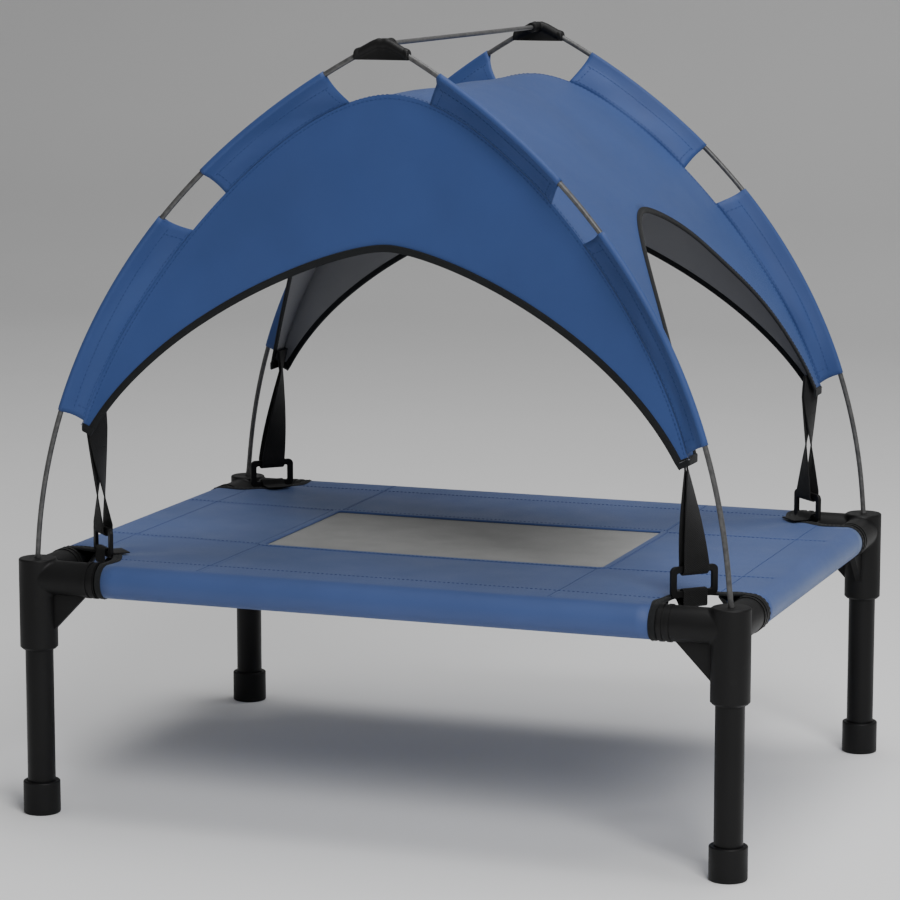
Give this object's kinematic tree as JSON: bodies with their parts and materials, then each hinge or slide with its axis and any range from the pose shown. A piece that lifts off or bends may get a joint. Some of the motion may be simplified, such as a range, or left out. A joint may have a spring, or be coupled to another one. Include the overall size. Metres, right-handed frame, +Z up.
{
  "type": "dog bed with frame",
  "caption": "Raised rectangular dog bed: fabric sling with a mesh window on tube legs, under an arched clip-on canopy on crossed-over poles.",
  "frame": {"origin": "on the floor under the middle of the bed", "axes": "+Z up, +X along the bed's long side, the front faces -Y"},
  "size_m": [0.6108, 0.4598, 0.6315],
  "materials": {
    "black_steel": "satin black powder coat",
    "black_plastic": "fine moulded grain, satin",
    "grey_rod": "dark grey glass-fibre rod",
    "blue_canopy_cloth": "coated woven polyester, grey inside",
    "blue_bed_cloth": "heavier coated woven polyester",
    "grey_mesh": "open breathable mesh",
    "black_webbing": "ribbed woven tape"
  },
  "bodies": {
    "bed": {"leg_front_left": "black_steel", "foot_cap_front_left": "black_plastic", "connector_front_left": "black_plastic", "corner_binding_front_left": "black_webbing", "ring_tab_front_left": "black_webbing", "leg_front_right": "black_steel", "foot_cap_front_right": "black_plastic", "connector_front_right": "black_plastic", "corner_binding_front_right": "black_webbing", "ring_tab_front_right": "black_webbing", "leg_back_right": "black_steel", "foot_cap_back_right": "black_plastic", "connector_back_right": "black_plastic", "corner_binding_back_right": "black_webbing", "ring_tab_back_right": "black_webbing", "leg_back_left": "black_steel", "foot_cap_back_left": "black_plastic", "connector_back_left": "black_plastic", "corner_binding_back_left": "black_webbing", "ring_tab_back_left": "black_webbing", "rail_front": "black_steel", "rail_back": "black_steel", "rail_left": "black_steel", "rail_right": "black_steel", "bed_sling": "blue_bed_cloth", "mesh_panel": "grey_mesh"},
    "canopy": {"strap_front_left": "black_webbing", "pole_front_left": "grey_rod", "upper_fin_front_left": "blue_canopy_cloth", "lower_fin_front_left": "blue_canopy_cloth", "strap_front_right": "black_webbing", "pole_front_right": "grey_rod", "upper_fin_front_right": "blue_canopy_cloth", "lower_fin_front_right": "blue_canopy_cloth", "strap_back_right": "black_webbing", "pole_back_right": "grey_rod", "upper_fin_back_right": "blue_canopy_cloth", "lower_fin_back_right": "blue_canopy_cloth", "strap_back_left": "black_webbing", "pole_back_left": "grey_rod", "upper_fin_back_left": "blue_canopy_cloth", "lower_fin_back_left": "blue_canopy_cloth", "hub_front": "black_plastic", "hub_back": "black_plastic", "ridge_rod": "grey_rod", "canopy_roof": "blue_canopy_cloth", "canopy_front": "blue_canopy_cloth", "canopy_back": "blue_canopy_cloth", "door_binding_front": "black_webbing", "door_binding_back": "black_webbing", "side_binding_left": "black_webbing", "side_binding_right": "black_webbing", "corner_hems": "black_webbing"},
    "front_left_ring": {"ring_front_left": "black_plastic"},
    "front_right_ring": {"ring_front_right": "black_plastic"},
    "back_right_ring": {"ring_back_right": "black_plastic"},
    "back_left_ring": {"ring_back_left": "black_plastic"}
  },
  "joints": [
    {"name": "canopy_lift", "type": "slide", "parent": "bed", "child": "canopy", "axis": [0, 0, 1], "range_m": [0, 0.1], "deforming": ["ring_tab_front_left", "ring_tab_front_right", "ring_tab_back_right", "ring_tab_back_left"]},
    {"name": "front_left_ring_swing", "type": "hinge", "parent": "canopy", "child": "front_left_ring", "pos_m": [-0.2496, -0.1762, 0.2314], "axis": [-0.7071, 0.7071, 0], "range_deg": [0, 75]},
    {"name": "front_right_ring_swing", "type": "hinge", "parent": "canopy", "child": "front_right_ring", "pos_m": [0.2496, -0.1762, 0.2314], "axis": [-0.7071, -0.7071, 0], "range_deg": [0, 75]},
    {"name": "back_right_ring_swing", "type": "hinge", "parent": "canopy", "child": "back_right_ring", "pos_m": [0.2496, 0.1762, 0.2314], "axis": [0.7071, -0.7071, 0], "range_deg": [0, 75]},
    {"name": "back_left_ring_swing", "type": "hinge", "parent": "canopy", "child": "back_left_ring", "pos_m": [-0.2496, 0.1762, 0.2314], "axis": [0.7071, 0.7071, 0], "range_deg": [0, 75]}
  ]
}
